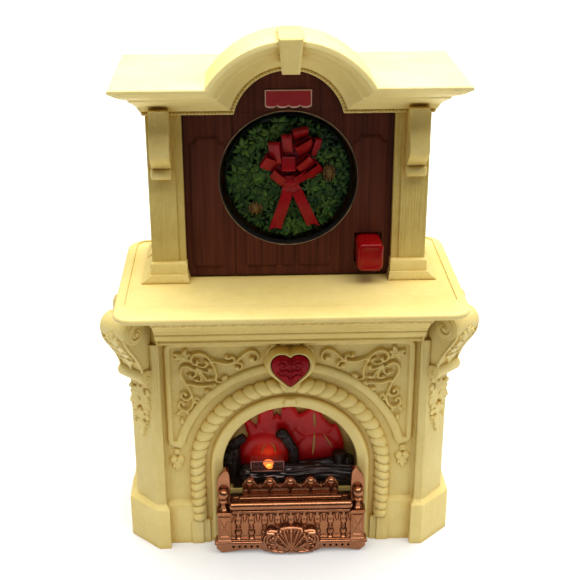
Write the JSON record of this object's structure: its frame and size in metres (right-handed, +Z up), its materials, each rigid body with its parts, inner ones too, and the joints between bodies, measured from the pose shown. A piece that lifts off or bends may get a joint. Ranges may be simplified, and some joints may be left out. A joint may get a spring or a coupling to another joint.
{
  "type": "miniature fireplace mantel",
  "caption": "Dolls' house fireplace mantel with arched fire opening, grate, sprung heart button, and a round picture that flips when the side knob is pushed.",
  "frame": {"origin": "centre of the bounding box in plan, at the base the fireplace stands on", "axes": "+X to the viewer's right, front faces -Y, +Z up"},
  "size_m": [0.1502, 0.084, 0.218],
  "materials": {
    "cream_plastic": "moulded, satin",
    "brown_plastic": "moulded wood grain, satin",
    "badge_red": "printed, gloss",
    "liner_plastic": "moulded, satin",
    "flame_red": "translucent, gloss",
    "log_brown": "moulded bark, semi-gloss",
    "lamp_glass": "clear bulb",
    "dark_plastic": "moulded",
    "clear_plastic": "clear, gloss",
    "copper_plate": "copper coloured plating on plastic",
    "heart_red": "translucent, gloss",
    "rubber_grey": "silicone",
    "board_green": "circuit board",
    "speaker_black": "paper cone in a plastic basket",
    "battery_blue": "printed sleeve",
    "spring_steel": "plain",
    "screw_steel": "zinc plated",
    "knob_red": "moulded, gloss",
    "gear_white": "moulded acetal",
    "disc_dark": "moulded",
    "leaf_green": "moulded leaves, satin",
    "ribbon_red": "painted, satin",
    "cone_brown": "painted",
    "print_card": "printed label",
    "cage_plastic": "moulded",
    "wire_red": "insulated lead"
  },
  "bodies": {
    "housing": {"surround_front": "cream_plastic", "mantel_shelf": "cream_plastic", "overmantel_frame": "cream_plastic", "overmantel_panel": "brown_plastic", "badge_plate": "badge_red", "lower_rear_shell": "cream_plastic", "upper_rear_cover": "cream_plastic", "firebox_liner": "liner_plastic", "flame_panel": "flame_red", "log_set": "log_brown", "lamp": "lamp_glass", "lamp_holder": "dark_plastic", "lamp_window": "clear_plastic", "fire_grate": "copper_plate", "heart_pad": "rubber_grey", "circuit_board": "board_green", "speaker": "speaker_black", "batteries": "battery_blue", "battery_contacts": "spring_steel", "case_screws": "screw_steel", "cover_screws": "screw_steel", "cage_screws": "screw_steel", "shelf_screws": "screw_steel", "knob_spring": "spring_steel", "disc_cage": "cage_plastic", "lead_wires": "wire_red"},
    "knob": {"flip_knob": "knob_red"},
    "picture": {"picture_disc": "disc_dark", "disc_pinion": "gear_white", "wreath_relief": "leaf_green", "ribbon_bow": "ribbon_red", "pine_cones": "cone_brown", "rear_picture": "print_card"},
    "idler": {"idler_gear": "gear_white"},
    "heart": {"heart_button": "heart_red"},
    "door": {"battery_door": "cream_plastic", "door_screws": "screw_steel"}
  },
  "joints": [
    {"name": "knob_push", "type": "slide", "parent": "housing", "child": "knob", "axis": [0, 1, 0], "range_m": [0, 0.01], "stiffness_N_per_m": 60, "springref_m": -0.004, "deforming": ["knob_spring"]},
    {"name": "picture_turn", "type": "hinge", "parent": "housing", "child": "picture", "pos_m": [0, 0.006, 0.1585], "axis": [0, 0, -1], "range_deg": [0, 180]},
    {"name": "idler_turn", "type": "hinge", "parent": "housing", "child": "idler", "pos_m": [0.01263, 0.0167, 0.126], "axis": [0, 0, 1], "range_deg": [0, 42.9]},
    {"name": "heart_push", "type": "slide", "parent": "housing", "child": "heart", "axis": [0, 1, 0], "range_m": [0, 0.0015], "stiffness_N_per_m": 400, "springref_m": -0.0005, "deforming": ["heart_pad"]},
    {"name": "door_pull", "type": "slide", "parent": "housing", "child": "door", "axis": [0, 1, 0], "range_m": [0, 0.03]}
  ],
  "couplings": [
    {"joint": "picture_turn", "follows": "knob_push", "rad_per_m": 314.16},
    {"joint": "idler_turn", "follows": "knob_push", "rad_per_m": 74.8}
  ]
}
